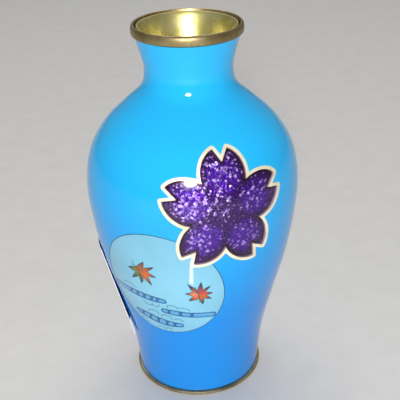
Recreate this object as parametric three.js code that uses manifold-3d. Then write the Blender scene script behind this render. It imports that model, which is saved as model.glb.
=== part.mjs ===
// A cloisonne vase: a copper vessel with a sky blue enamel ground, a pale moon holding two
// maple leaves and a stylised stream, and a large cherry blossom of purple enamel over foil.
// Units are millimetres, +Z is up, the foot stands on Z = 0 and the decorated face looks
// towards -Y. Angles run round the axis from the front, positive towards +X.

import * as THREE from 'three';
import { mergeVertices } from 'three/addons/utils/BufferGeometryUtils.js';
import Module from 'manifold-3d';

const wasm = await Module();
wasm.setup();

// ---------------------------------------------------------------- driving dimensions

const HEIGHT = 185;
const FOOT_HEIGHT = 1.8;
const NECK_TOP = 180.4;
const NECK_ROOT = 157;

// How finely round things are drawn.
const SIDES = 28;
const RISES = 18;
const TRACE_STEPS = 600;
const MOON_SIDES = 28;
const PETAL_SIDE_STEPS = 3;
const LABEL_STEPS = 6;
const WELD = 1e-4;

// Outside of the enamel, as [radius, height], from the foot ring to the mouth.
const SILHOUETTE = [
  [31.8, 1.8], [34.6, 26], [40.4, 50], [46.2, 72], [49.7, 92], [51.0, 110], [48.3, 126],
  [40.9, 138.5], [31.1, 148], [22.6, 156], [20.4, 164], [21.75, 172], [24.2, 180.4], [26.4, 185],
];

const GAP = 0.3;
const FINE_GAP = 0.2;
const ENAMEL = 1.2;
const COPPER = 1.0;
const LINING = 0.6;
const CORE_DEPTH = ENAMEL + GAP;
const LINING_DEPTH = CORE_DEPTH + COPPER + GAP;

const ENAMEL_FOOT = FOOT_HEIGHT + GAP;
const ENAMEL_TOP = NECK_TOP - GAP;
const BASE_RADIUS = 28.8;
const BASE_HEIGHT = 3.6;
const LINER_FOOT = 151;
const LINER_TOP = 184.2;

// The brass foot ring and the rounded brass mouth rim, as [radius, height].
const FOOT_RING = [[29.4, 0], [33, 0], [33, 1.2], [32.5, FOOT_HEIGHT], [29.4, FOOT_HEIGHT]];
const MOUTH_RIM = [
  [22.9, NECK_TOP], [24.9, NECK_TOP], [25.3, 181.2], [25.4, 182.4], [25.3, 183.7], [24.9, 184.6],
  [24.4, HEIGHT], [23.9, 184.7], [23.5, 183],
];

const FINE_WIRE = 0.4;
const WIRE_ROOM = FINE_WIRE + 2 * FINE_GAP;
const BOLD_WIRE = 1.8;
const GLAZE = 0.45;
const FOIL = 0.3;

// Where a plug through the wall begins and ends, the wall being at 1 and its focus at 0.
const PLUG_START = 0.6;
const PLUG_END = 1.4;

// Turns sharper than this, in radians, are given two points by grow, at these shares.
const SHARP_TURN = 0.9;
const CORNER_SHARES = [0.1, 0.9];

// How far the bars of the stream run past its edges before they are trimmed.
const OVERRUN = 0.6;

// Each motif is drawn flat and then laid on the wall: u runs round it and v up it.
const MOON = { angle: -22.1, rise: 73.0 };
const MOON_RADIUS = 30.8;
const BLOSSOM = { angle: 16.25, rise: 114.2 };
const PETALS = 5;
const PETAL_TURN = -1.5;
const PETAL_TIP = [3.3, 28.9];
const PETAL_NOTCH = [0, 22.9];
const PETAL_VALLEY = [10.1, 13.9];
const PETAL_BULGE = [[11.2, 19.5], [8.8, 26.0]];

// A blank paper label on the left flank: a straight sheet, its foot and head as
// [radius, height] of its inner face.
const LABEL = { angle: -92, width: 36.6, thickness: 0.3, foot: [36.1, 27], head: [48.3, 79] };

// The colour, roughness and metalness of each material.
const COLOURS = {
  copper: [0xb06a42, 0.35, 1.0],
  brass: [0xb09a55, 0.3, 1.0],
  silver: [0xf4f0d8, 0.25, 0.6],
  foil: [0x8f5fe0, 0.25, 0.9],
  ground: [0x1f9bf2, 0.08, 0.0],
  moon: [0xa4e2f8, 0.08, 0.0],
  purple: [0x3d1a96, 0.06, 0.0],
  green: [0x7d7a1e, 0.1, 0.0],
  orange: [0xc0601c, 0.1, 0.0],
  red: [0xc8542e, 0.1, 0.0],
  water: [0x5aaef0, 0.08, 0.0],
  lining: [0x5f6f7c, 0.3, 0.0],
  paper: [0xf2f0ea, 0.8, 0.0],
};

// ---------------------------------------------------------------- the vase wall

const outerCurve = new THREE.SplineCurve(SILHOUETTE.map(([r, z]) => new THREE.Vector2(r, z)));
const wallTrace = outerCurve.getPoints(TRACE_STEPS);
const riseTrace = [0];
for (let i = 1; i <= TRACE_STEPS; i += 1) {
  riseTrace.push(riseTrace[i - 1] + wallTrace[i].distanceTo(wallTrace[i - 1]));
}

// The point of the outer curve that lies a given distance along it from the foot.
function wallPoint(rise) {
  const i = Math.max(1, riseTrace.findIndex((length) => length >= rise));
  const share = (rise - riseTrace[i - 1]) / (riseTrace[i] - riseTrace[i - 1]);
  return wallTrace[i - 1].clone().lerp(wallTrace[i], share);
}

// The outer curve set back into the wall by a depth, between two heights.
function setBack(depth, low, high) {
  const points = [];
  for (let i = 0; i <= RISES; i += 1) {
    const t = i / RISES;
    const along = outerCurve.getTangent(t);
    const point = outerCurve.getPoint(t);
    points.push(new THREE.Vector2(point.x - along.y * depth, point.y + along.x * depth));
  }
  const kept = points.filter((p) => p.y > low && p.y < high);
  return [pointAtHeight(points, low), ...kept, pointAtHeight(points, high)];
}

function pointAtHeight(points, height) {
  const found = points.findIndex((p) => p.y >= height);
  const i = found < 1 ? (found < 0 ? points.length - 1 : 1) : found;
  const [a, b] = [points[i - 1], points[i]];
  return new THREE.Vector2(a.x + ((b.x - a.x) * (height - a.y)) / (b.y - a.y), height);
}

// ---------------------------------------------------------------- solids

function solidOf(geometry) {
  geometry.deleteAttribute('normal');
  geometry.deleteAttribute('uv');
  const merged = mergeVertices(geometry, WELD);
  return new wasm.Manifold(new wasm.Mesh({
    numProp: 3,
    vertProperties: new Float32Array(merged.attributes.position.array),
    triVerts: new Uint32Array(merged.index.array),
  }));
}

function geometryOf(solid) {
  const mesh = solid.getMesh();
  const geometry = new THREE.BufferGeometry();
  geometry.setAttribute('position', new THREE.BufferAttribute(mesh.vertProperties, 3));
  geometry.setIndex(new THREE.BufferAttribute(mesh.triVerts, 1));
  geometry.computeVertexNormals();
  return geometry;
}

// A body of revolution from an outline of [radius, height] points taken counterclockwise.
function turned(outline) {
  const points = outline.map((p) => (Array.isArray(p) ? new THREE.Vector2(...p) : p));
  return solidOf(new THREE.LatheGeometry([...points, points[0].clone()], SIDES).rotateX(Math.PI / 2));
}

// A flat disc that fills the foot between two heights.
function disc(low, high) {
  return turned([[0, low], [BASE_RADIUS, low], [BASE_RADIUS, high], [0, high]]);
}

// The layer of the wall from a depth inwards, between two heights.
function wallLayer(depth, thickness, low, high) {
  return turned([...setBack(depth, low, high), ...setBack(depth + thickness, low, high).reverse()]);
}

const wallSpot = (point, angle) => new THREE.Vector3(
  point.x * Math.sin(angle),
  -point.x * Math.cos(angle),
  point.y,
);

// A flat outline laid on the wall at a motif's place, as a plug that runs right through the
// wall. Its sides all aim at one focus on the far wall, so that each of them stays flat.
function plug(outline, place) {
  const shape = new THREE.Shape(outline.map(([u, v]) => new THREE.Vector2(u, v)));
  const geometry = new THREE.ExtrudeGeometry(shape, { depth: 1, bevelEnabled: false });
  const position = geometry.attributes.position;
  const angle = THREE.MathUtils.degToRad(place.angle);
  const focus = wallSpot(wallPoint(place.rise), angle + Math.PI);
  for (let i = 0; i < position.count; i += 1) {
    const wall = wallPoint(place.rise + position.getY(i));
    const spot = wallSpot(wall, angle + position.getX(i) / wall.x);
    const reach = position.getZ(i) === 0 ? PLUG_START : PLUG_END;
    const end = focus.clone().lerp(spot, reach);
    position.setXYZ(i, end.x, end.y, end.z);
  }
  return solidOf(geometry);
}

// ---------------------------------------------------------------- flat outlines

const turnPoint = ([x, y], angle) => [
  x * Math.cos(angle) - y * Math.sin(angle),
  x * Math.sin(angle) + y * Math.cos(angle),
];

// An outline moved outwards (or inwards, where the distance is negative), its corners
// rounded where they open.
function grow(outline, distance) {
  const grown = [];
  outline.forEach((point, i) => {
    const before = outline[(i + outline.length - 1) % outline.length];
    const after = outline[(i + 1) % outline.length];
    const first = Math.atan2(before[0] - point[0], point[1] - before[1]);
    const second = Math.atan2(point[0] - after[0], after[1] - point[1]);
    const turn = Math.atan2(Math.sin(second - first), Math.cos(second - first));
    const opens = turn * distance > 0 && Math.abs(turn) > SHARP_TURN;
    const stops = opens ? CORNER_SHARES : [0.5];
    const reach = opens ? distance : distance / Math.cos(turn / 2);
    stops.forEach((share) => {
      const angle = first + turn * share;
      grown.push([point[0] + reach * Math.cos(angle), point[1] + reach * Math.sin(angle)]);
    });
  });
  return grown;
}

function circle(radius, count) {
  return Array.from({ length: count }, (_, i) => turnPoint([radius, 0], (2 * Math.PI * i) / count));
}

// The five-petalled blossom: each petal has bulging sides and a notched tip.
function blossomOutline() {
  const side = new THREE.CubicBezierCurve(
    new THREE.Vector2(...PETAL_VALLEY),
    new THREE.Vector2(...PETAL_BULGE[0]),
    new THREE.Vector2(...PETAL_BULGE[1]),
    new THREE.Vector2(...PETAL_TIP),
  ).getPoints(PETAL_SIDE_STEPS).map((p) => [p.x, p.y]);
  const mirrored = side.map(([x, y]) => [-x, y]).reverse();
  const petal = [...side, PETAL_NOTCH, ...mirrored.slice(0, -1)];
  const outline = [];
  for (let i = 0; i < PETALS; i += 1) {
    const angle = THREE.MathUtils.degToRad(PETAL_TURN) + (2 * Math.PI * i) / PETALS;
    petal.forEach((p) => outline.push(turnPoint(p, angle)));
  }
  return outline;
}

// A strip of even width along an open line.
function strip(line, width) {
  const sides = [1, -1].map((hand) => line.map(([x, y], i) => {
    const [a, b] = [line[Math.max(0, i - 1)], line[Math.min(line.length - 1, i + 1)]];
    const length = Math.hypot(b[0] - a[0], b[1] - a[1]);
    const offset = (hand * width) / 2 / length;
    return [x + offset * (b[1] - a[1]), y - offset * (b[0] - a[0])];
  }));
  return [...sides[0], ...sides[1].reverse()];
}

// ---------------------------------------------------------------- the motifs' outlines

const moonDisc = circle(MOON_RADIUS, MOON_SIDES);
const blossomEdge = blossomOutline();

// Maple leaves on the moon, tips and notches in turn, the first point being the left tip.
const UPPER_LEAF = [
  [-15.4, 8.8], [-11.8, 7.0], [-14.0, 2.5], [-9.9, 4.6], [-8.8, 0.6], [-6.9, 4.4], [-3.2, 1.0],
  [-3.9, 6.2], [-0.3, 6.8], [-3.9, 9.6], [-0.8, 12.8], [-6.0, 11.4], [-5.8, 14.8], [-10.9, 11.2],
];
const UPPER_STALK = [[-10.6, 10.6], [-12.4, 14.0]];
const UPPER_VEIN = [[-11.4, 12.0], [-7.8, 7.6], [-7.4, 2.4]];

const LOWER_LEAF = [
  [12.4, -1.8], [15.4, -3.6], [13.5, -6.6], [18.4, -6.2], [19.8, -9.2], [21.2, -5.8], [24.2, -5.6],
  [22.6, -3.2], [25.2, -1.8], [22.2, -0.4], [24.6, 2.8], [21.2, 1.4], [20.5, 5.6], [18.2, 1.2],
  [16.2, 1.4],
];
const LOWER_STALK = [[16.6, 0.8], [14.2, 4.5]];
const LOWER_VEIN = [[16.9, 2.4], [18.6, -2.6], [18.9, -7.4]];

// The stream: three long bands, each given by its edge and by the bars that divide its links.
const BANDS = {
  upper_stream: {
    edge: [[-29, -6.4], [-21, -5.5], [-10, -5.8], [-2, -6.6], [1.6, -7.4], [2.6, -8.6], [1.8, -10.1],
      [-4, -10.5], [-12, -10.0], [-21, -9.4], [-29, -9.6]].reverse(),
    bars: [[[-17.6, -9.4], [-16.4, -5.7]], [[-13.6, -9.8], [-12.4, -5.7]], [[-9.6, -10.1], [-8.4, -5.9]],
      [[-5.6, -10.4], [-4.4, -6.3]], [[-2.4, -10.4], [-1.6, -6.6]]],
  },
  right_stream: {
    edge: [[-1.0, -13.8], [7, -14.2], [13, -15.4], [29, -15.4], [29, -19.0], [14, -18.8], [7, -18.2],
      [0.4, -17.2], [-1.0, -16.0]].reverse(),
    bars: [[[2.6, -17.4], [3.0, -14.0]], [[8.2, -18.3], [8.4, -14.4]], [[13.4, -18.8], [13.8, -15.4]]],
  },
  lower_stream: {
    edge: [[-17.2, -20.6], [-15.4, -19.6], [-9, -20.0], [-2, -21.8], [3, -22.9], [7.4, -23.4], [8.8, -24.8],
      [7.6, -26.4], [1, -26.9], [-6, -25.6], [-13.4, -23.8], [-16.8, -22.4]].reverse(),
    bars: [[[-13.2, -24.0], [-11.8, -19.8]], [[-8.8, -25.0], [-7.6, -20.4]], [[-4.4, -26.0], [-3.4, -21.4]],
      [[0.2, -26.9], [0.8, -22.4]], [[4.2, -26.8], [4.6, -23.0]]],
  },
};

// Single wires that draw the loose ripples beside the bands.
const RIPPLES = [
  [[-21.5, -3.6], [-19.5, -2.5], [-17, -2.4], [-14.5, -3.2], [-12.5, -4.2]],
  [[-9.6, -11.8], [-8.8, -13.4], [-5, -13.6], [-2.6, -12.4]],
  [[2.4, -12.4], [3.2, -11.0], [6.5, -11.2], [12, -12.6]],
  [[-8.2, -18.4], [-6.0, -17.2], [-3.0, -17.0]],
  [[-1.6, -19.6], [2.0, -19.4], [5.6, -20.8]],
];

// ---------------------------------------------------------------- assembly

const vase = new THREE.Group();

function add(name, solid, colour) {
  const [color, roughness, metalness] = COLOURS[colour];
  const material = new THREE.MeshStandardMaterial({ color, roughness, metalness });
  const mesh = new THREE.Mesh(geometryOf(solid), material);
  mesh.name = name;
  vase.add(mesh);
}

const enamelLayer = wallLayer(0, ENAMEL, ENAMEL_FOOT, ENAMEL_TOP);
const inWall = (solid) => enamelLayer.intersect(solid);

// Copper vessel, its brass foot and mouth, and the enamel that lines it.
function addVessel() {
  const baseTop = BASE_HEIGHT + COPPER;
  const enamelFace = BASE_HEIGHT - GAP;
  const enamelBack = enamelFace - LINING;
  const floor = baseTop + GAP;
  add('copper_body', wallLayer(CORE_DEPTH, COPPER, ENAMEL_FOOT, NECK_ROOT), 'copper');
  add('copper_neck', wallLayer(CORE_DEPTH, COPPER, NECK_ROOT + GAP, ENAMEL_TOP), 'copper');
  add('copper_base', disc(BASE_HEIGHT, baseTop), 'copper');
  add('base_enamel', disc(enamelBack, enamelFace), 'ground');
  add('counter_enamel', turned([
    [0, floor], ...setBack(LINING_DEPTH, floor, LINER_FOOT),
    ...setBack(LINING_DEPTH + LINING, floor + LINING, LINER_FOOT).reverse(), [0, floor + LINING],
  ]), 'lining');
  add('mouth_liner', wallLayer(LINING_DEPTH, LINING, LINER_FOOT + GAP, LINER_TOP), 'brass');
  add('foot_ring', turned(FOOT_RING), 'brass');
  add('mouth_rim', turned(MOUTH_RIM), 'brass');
}

// The blossom: a bold outline wire, a sheet of embossed foil and clear enamel over it.
function addBlossom() {
  const wireEdge = grow(blossomEdge, BOLD_WIRE);
  const wire = plug(wireEdge, BLOSSOM).subtract(plug(blossomEdge, BLOSSOM));
  const inside = plug(grow(blossomEdge, -FINE_GAP), BLOSSOM);
  const glaze = wallLayer(0, GLAZE, ENAMEL_FOOT, ENAMEL_TOP);
  const sheet = wallLayer(GLAZE + FINE_GAP, FOIL, ENAMEL_FOOT, ENAMEL_TOP);
  add('blossom_wire', inWall(wire), 'silver');
  add('blossom_enamel', glaze.intersect(inside), 'purple');
  add('blossom_foil', sheet.intersect(inside), 'foil');
  return plug(grow(blossomEdge, BOLD_WIRE + FINE_GAP), BLOSSOM);
}

// A maple leaf: an outline wire with its stalk and middle vein, and the enamel on each side.
function addLeaf(name, leaf, stalk, vein, colours) {
  const outer = plug(grow(leaf, FINE_WIRE), MOON);
  const inner = plug(leaf, MOON);
  const [stalkWire, veinWire] = [stalk, vein].map((line) => plug(strip(line, FINE_WIRE), MOON));
  const [stalkRoom, veinRoom] = [stalk, vein].map((line) => plug(strip(line, WIRE_ROOM), MOON));
  const frame = outer.subtract(inner).add(stalkWire).add(veinWire.intersect(outer));
  add(`${name}_wire`, inWall(frame), 'silver');
  const fill = plug(grow(leaf, -FINE_GAP), MOON).subtract(veinRoom).subtract(stalkRoom);
  const cells = largestFirst(inWall(fill)).slice(0, colours.length);
  cells.sort((a, b) => middle(a) - middle(b));
  cells.forEach((cell, i) => add(`${name}_${colours[i]}_enamel`, cell, colours[i]));
  return plug(grow(leaf, FINE_WIRE + FINE_GAP), MOON).add(stalkRoom);
}

const largestFirst = (solid) => solid.decompose().sort((a, b) => b.volume() - a.volume());

// How far round the axis a small solid lies.
function middle(solid) {
  const { min, max } = solid.boundingBox();
  return Math.atan2(min[0] + max[0], -(min[1] + max[1]));
}

// A band of water: its ladder of wire and an enamel cell in each link.
function addBand(name, band, field) {
  const outer = plug(grow(band.edge, FINE_WIRE / 2), MOON).intersect(field);
  const inner = plug(grow(band.edge, -FINE_WIRE / 2), MOON);
  const bars = band.bars.map(([foot, head]) => [
    [foot[0], foot[1] - OVERRUN],
    [head[0], head[1] + OVERRUN],
  ]);
  let ladder = outer.subtract(inner);
  let cells = plug(grow(band.edge, -FINE_WIRE / 2 - FINE_GAP), MOON).intersect(field);
  bars.forEach((bar) => {
    ladder = ladder.add(plug(strip(bar, FINE_WIRE), MOON).intersect(outer));
    cells = cells.subtract(plug(strip(bar, WIRE_ROOM), MOON));
  });
  add(`${name}_wire`, inWall(ladder), 'silver');
  const links = largestFirst(inWall(cells)).slice(0, band.bars.length + 1);
  links.sort((a, b) => middle(a) - middle(b));
  links.forEach((link, i) => add(`${name}_link_${i + 1}`, link, 'water'));
  return plug(grow(band.edge, FINE_WIRE / 2 + FINE_GAP), MOON);
}

// The moon: its rim wire and pale field, with the leaves and the stream let into it.
function addMoon(blossomPocket) {
  const ring = grow(moonDisc, FINE_WIRE / 2);
  const hollow = grow(moonDisc, -FINE_WIRE / 2);
  const fieldPlug = plug(grow(hollow, -FINE_GAP), MOON).subtract(blossomPocket);
  const rim = plug(ring, MOON).subtract(plug(hollow, MOON)).subtract(blossomPocket);
  add('moon_wire', inWall(rim), 'silver');
  const leaves = [
    addLeaf('upper_leaf', UPPER_LEAF, UPPER_STALK, UPPER_VEIN, ['green', 'orange']),
    addLeaf('lower_leaf', LOWER_LEAF, LOWER_STALK, LOWER_VEIN, ['red', 'orange']),
  ];
  const bands = Object.entries(BANDS).map(([name, band]) => addBand(name, band, fieldPlug));
  const ripples = RIPPLES.map((line, i) => {
    add(`ripple_wire_${i + 1}`, inWall(plug(strip(line, FINE_WIRE), MOON)), 'silver');
    return plug(strip(line, WIRE_ROOM), MOON);
  });
  const field = [...leaves, ...bands, ...ripples].reduce((rest, cut) => rest.subtract(cut), fieldPlug);
  add('moon_enamel', largestFirst(inWall(field))[0], 'moon');
  return plug(grow(moonDisc, FINE_WIRE / 2 + FINE_GAP), MOON);
}

// The paper label, a flat sheet bent round the flank.
function addLabel() {
  const [foot, head] = [LABEL.foot, LABEL.head].map((p) => new THREE.Vector2(...p));
  const sheet = new THREE.BoxGeometry(LABEL.width, 1, LABEL.thickness, LABEL_STEPS, 1, 1);
  const position = sheet.attributes.position;
  for (let i = 0; i < position.count; i += 1) {
    const spot = foot.clone().lerp(head, position.getY(i) + 0.5);
    const angle = THREE.MathUtils.degToRad(LABEL.angle) + position.getX(i) / spot.x;
    spot.x += LABEL.thickness / 2 + position.getZ(i);
    const place = wallSpot(spot, angle);
    position.setXYZ(i, place.x, place.y, place.z);
  }
  add('paper_label', solidOf(sheet), 'paper');
}

const blossomPocket = addBlossom();
const moonPocket = addMoon(blossomPocket);
add('ground_enamel', enamelLayer.subtract(blossomPocket).subtract(moonPocket), 'ground');
addVessel();
addLabel();

export default vase;
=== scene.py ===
import math
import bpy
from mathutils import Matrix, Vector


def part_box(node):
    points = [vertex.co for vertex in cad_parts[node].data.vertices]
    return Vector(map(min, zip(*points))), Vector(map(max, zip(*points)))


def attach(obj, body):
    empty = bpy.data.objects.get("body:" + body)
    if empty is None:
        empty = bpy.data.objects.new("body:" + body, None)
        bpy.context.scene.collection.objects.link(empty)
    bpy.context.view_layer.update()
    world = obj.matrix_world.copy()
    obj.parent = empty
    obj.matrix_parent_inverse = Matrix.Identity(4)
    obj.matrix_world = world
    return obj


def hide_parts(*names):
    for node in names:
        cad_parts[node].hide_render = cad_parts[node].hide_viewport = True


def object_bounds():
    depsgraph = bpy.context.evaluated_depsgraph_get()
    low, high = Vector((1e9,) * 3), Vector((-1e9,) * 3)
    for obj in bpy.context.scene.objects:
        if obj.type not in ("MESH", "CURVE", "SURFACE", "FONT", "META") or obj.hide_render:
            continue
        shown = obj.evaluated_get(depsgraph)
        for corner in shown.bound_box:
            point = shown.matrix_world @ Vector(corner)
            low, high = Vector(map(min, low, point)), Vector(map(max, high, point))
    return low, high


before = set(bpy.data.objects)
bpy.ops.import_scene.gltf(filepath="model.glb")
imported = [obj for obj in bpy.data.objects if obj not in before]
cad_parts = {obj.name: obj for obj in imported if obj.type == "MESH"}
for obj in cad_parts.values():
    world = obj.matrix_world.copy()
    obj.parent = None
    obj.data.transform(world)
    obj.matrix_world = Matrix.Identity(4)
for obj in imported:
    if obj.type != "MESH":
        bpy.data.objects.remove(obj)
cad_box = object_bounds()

from types import SimpleNamespace

import bpy
import numpy as np
from mathutils import Matrix, Vector, noise

# A cloisonne vase. Lengths in the maker's tables are millimetres and MM turns them into
# metres. Motifs are drawn flat, u to the right and v up, and then laid round the wall.
MM = 0.001
TURN = 2 * math.pi

HEIGHT = cad_box[1].z / MM
FOOT_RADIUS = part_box("foot_ring")[1].x / MM
FOOT_INSIDE = 29.4
FOOT_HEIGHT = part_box("foot_ring")[1].z / MM
LIP_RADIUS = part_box("mouth_rim")[1].x / MM
NECK_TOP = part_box("mouth_rim")[0].z / MM
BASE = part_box("copper_base")
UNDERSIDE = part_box("base_enamel")

# Outside of the enamel, as (radius, height), from the foot ring to the mouth.
SILHOUETTE = [
    (31.8, 1.8), (34.6, 26), (40.4, 50), (46.2, 72), (49.7, 92), (51.0, 110), (48.3, 126),
    (40.9, 138.5), (31.1, 148), (22.6, 156), (20.4, 164), (21.75, 172), (24.2, 180.4), (26.4, 185),
]

# Layers of the wall from its face inwards, and the gap kept between two.
GAP = 0.3
ENAMEL = 1.2
COPPER = 1.0
LINING = 0.6
CORE_DEPTH = ENAMEL + GAP
LINING_DEPTH = CORE_DEPTH + COPPER + GAP

# Where the neck meets the body, how the liner sits in it, and the rim's inner edge.
NECK_ROOT = 157
LINER_OVERLAP = 6
LINER_SINK = 0.8
LIP_SEAT = 22.9
LIP_INSIDE = 23.5

# How finely the spun pieces are stepped round and up, and how much their edges are eased.
SPIN_STEPS = 224
HIDDEN_SPIN_STEPS = 96
WALL_PITCH = 2.0
EDGE_EASE = 0.12

# Where the middle of each motif lies: round from the front, and up the curve of the wall.
MOON = SimpleNamespace(angle=math.radians(-22.1), rise=73.0)
MOON_RADIUS = 30.8
BLOSSOM = SimpleNamespace(angle=math.radians(16.25), rise=114.2)

# Wire gauges, the room kept at the moon's edge for its own wire, and how the fine wire sits:
# hammered a little flat and standing just proud of the enamel.
BOLD_WIRE = 1.4
LEAF_WIRE = 0.36
RIPPLE_WIRE = 0.38
LINK_WIRE = 0.42
MOON_WIRE = 0.5
MOON_WIRE_ROOM = 0.1
WIRE_PROUD = 0.07
WIRE_FLATNESS = 0.8

# Inlaid cells: their depth and ruling, the seam round each and the snug fit between two.
# THROUGH is how far a cutting block reaches each way, and CUT_BEHIND and CUT_PROUD how far
# the cutters of the ground do.
CELL_DEPTH = 1.2
CELL_PITCH = 0.9
SEAM = 0.12
SNUG = 0.02
THROUGH = 3
CUT_BEHIND, CUT_PROUD = 2.6, 1.2

# The blossom's layers, as lifts from the face of the wall: foil, then glaze, then outline.
FOIL_BACK, FOIL_FACE, FOIL_PITCH = -1.17, -1.0, 0.36
GLAZE_BACK = -0.4
OUTLINE_PROUD, OUTLINE_EASE = 0.1, 0.08
BLOSSOM_PITCH = 1.2


# ---------------------------------------------------------------- the curve of the wall

def smooth_line(points, steps):
    """A smooth line through the points, with a number of steps between each two."""
    points = [Vector(point) for point in points]
    last = len(points) - 1
    line = []
    for span in range(last):
        a, b, c, d = (points[min(max(i, 0), last)] for i in range(span - 1, span + 3))
        into, out = (c - a) / 2, (d - b) / 2
        for step in range(steps):
            t = step / steps
            line.append((2 * b - 2 * c + into + out) * t ** 3
                        + (3 * c - 3 * b - 2 * into - out) * t ** 2 + into * t + b)
    return line + [points[last]]


WALL = np.array(smooth_line(SILHOUETTE, 60))
ALONG = np.gradient(WALL, axis=0)
ALONG /= np.linalg.norm(ALONG, axis=1)[:, None]
RISE = np.concatenate([[0], np.cumsum(np.linalg.norm(np.diff(WALL, axis=0), axis=1))])


def wall_at(rise):
    """Radius, height and outward direction of the wall at a distance up its curve."""
    radius, height, along_r, along_z = (
        np.interp(rise, RISE, column) for column in (WALL[:, 0], WALL[:, 1], ALONG[:, 0], ALONG[:, 1])
    )
    return radius, height, along_z, -along_r


def set_back(depth, low, high, pitch=WALL_PITCH):
    """The wall's curve at a depth behind its face, between two heights."""
    rises = np.linspace(0, RISE[-1], 4 * int(RISE[-1] / pitch))
    radius, height, out_r, out_z = wall_at(rises)
    behind_r, behind_z = radius - depth * out_r, height - depth * out_z
    heights = np.linspace(low, high, max(2, int((high - low) / pitch)))
    return [(float(np.interp(z, behind_z, behind_r)), float(z)) for z in heights]


def lay(flat, place):
    """Points drawn flat (u, v, lift), laid on the wall, with the wall's three directions."""
    u, v, lift = (flat / MM).T
    radius, height, out_r, out_z = wall_at(place.rise + v)
    angle = place.angle + u / radius
    sine, cosine = np.sin(angle), np.cos(angle)
    reach = radius + lift * out_r
    spots = np.stack([reach * sine, -reach * cosine, height + lift * out_z], axis=1) * MM
    right = np.stack([cosine, sine, np.zeros_like(sine)], axis=1)
    out = np.stack([out_r * sine, -out_r * cosine, out_z], axis=1)
    return spots, right, np.cross(out, right), out


# ---------------------------------------------------------------- the bench

def deselect():
    if bpy.context.object and bpy.context.object.mode != "OBJECT":
        bpy.ops.object.mode_set(mode="OBJECT")
    bpy.ops.object.select_all(action="DESELECT")


def pick(piece):
    deselect()
    piece.select_set(True)
    bpy.context.view_layer.objects.active = piece


def edit(piece):
    pick(piece)
    bpy.ops.object.mode_set(mode="EDIT")
    bpy.ops.mesh.select_all(action="SELECT")


def leave_edit():
    bpy.ops.object.mode_set(mode="OBJECT")


def apply_modifier(piece, kind, **settings):
    pick(piece)
    modifier = piece.modifiers.new(kind.lower(), kind)
    for key, value in settings.items():
        setattr(modifier, key, value)
    bpy.ops.object.modifier_apply(modifier=modifier.name)


def boolean(piece, other, operation):
    """Cuts a tool out of a piece, or keeps only their overlap. The tool is used up."""
    apply_modifier(piece, "BOOLEAN", object=other, operation=operation, solver="EXACT")
    tool = other.data
    bpy.data.objects.remove(other)
    bpy.data.meshes.remove(tool)


def ring_of(name, points, filled=False):
    """A closed ring of edges through points given in metres, as one face if filled."""
    deselect()
    bpy.ops.mesh.primitive_circle_add(vertices=len(points), fill_type="NGON" if filled else "NOTHING")
    piece = bpy.context.object
    piece.name = piece.data.name = name
    for vertex, point in zip(piece.data.vertices, points):
        vertex.co = point
    return piece


def spun(name, outline, steps=SPIN_STEPS):
    """A solid of revolution from an outline of (radius, height) points."""
    piece = ring_of(name, [(radius * MM, 0, height * MM) for radius, height in outline])
    edit(piece)
    bpy.ops.mesh.spin(steps=steps, angle=TURN, center=(0, 0, 0), axis=(0, 0, 1))
    bpy.ops.mesh.select_all(action="SELECT")
    bpy.ops.mesh.remove_doubles(threshold=1e-6)
    bpy.ops.mesh.dissolve_degenerate(threshold=1e-7)
    bpy.ops.mesh.delete_loose()
    bpy.ops.mesh.select_all(action="SELECT")
    bpy.ops.mesh.normals_make_consistent(inside=False)
    leave_edit()
    apply_modifier(piece, "BEVEL", width=EDGE_EASE * MM, segments=2, limit_method="ANGLE",
                   angle_limit=math.radians(50))
    smooth(piece)
    return piece


def smooth(piece, angle=35):
    pick(piece)
    bpy.ops.object.shade_smooth_by_angle(angle=math.radians(angle))


def thicken(piece, thickness):
    """Draws every face of an open flat piece up into a closed plate."""
    edit(piece)
    bpy.ops.mesh.extrude_region_move(TRANSFORM_OT_translate={"value": (0, 0, thickness * MM)})
    bpy.ops.mesh.select_all(action="SELECT")
    bpy.ops.mesh.normals_make_consistent(inside=False)
    leave_edit()


def prism(outline, low=-THROUGH, high=THROUGH):
    """An upright block with a flat outline, from one lift to another."""
    block = ring_of("block", [(u * MM, v * MM, low * MM) for u, v in outline], filled=True)
    thicken(block, high - low)
    return block


def slab(name, outline, low, high, pitch):
    """A flat plate with the given outline, its faces ruled finely enough to bend."""
    us, vs = [p[0] for p in outline], [p[1] for p in outline]
    centre = ((min(us) + max(us)) / 2, (min(vs) + max(vs)) / 2)
    size = [max(us) - min(us) + pitch, max(vs) - min(vs) + pitch]
    deselect()
    bpy.ops.mesh.primitive_grid_add(
        x_subdivisions=math.ceil(size[0] / pitch), y_subdivisions=math.ceil(size[1] / pitch),
        size=1, location=(0, 0, 0))
    plate = bpy.context.object
    plate.name = plate.data.name = name
    plate.data.transform(Matrix.Translation((centre[0] * MM, centre[1] * MM, low * MM))
                         @ Matrix.Diagonal((size[0] * MM, size[1] * MM, 1, 1)))
    thicken(plate, high - low)
    boolean(plate, prism(outline, low - 1, high + 1), "INTERSECT")
    return plate


def cell(name, outline, pitch=CELL_PITCH):
    return slab(name, outline, -CELL_DEPTH, 0.0, pitch)


def corners_of(mesh):
    """A mesh's points, the point at each face corner and the normal there."""
    spots = np.empty(len(mesh.vertices) * 3)
    mesh.vertices.foreach_get("co", spots)
    corner = np.empty(len(mesh.loops), dtype=int)
    mesh.loops.foreach_get("vertex_index", corner)
    normal = np.empty(len(mesh.loops) * 3)
    mesh.corner_normals.foreach_get("vector", normal)
    return spots.reshape(-1, 3), corner, normal.reshape(-1, 3)


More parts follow.
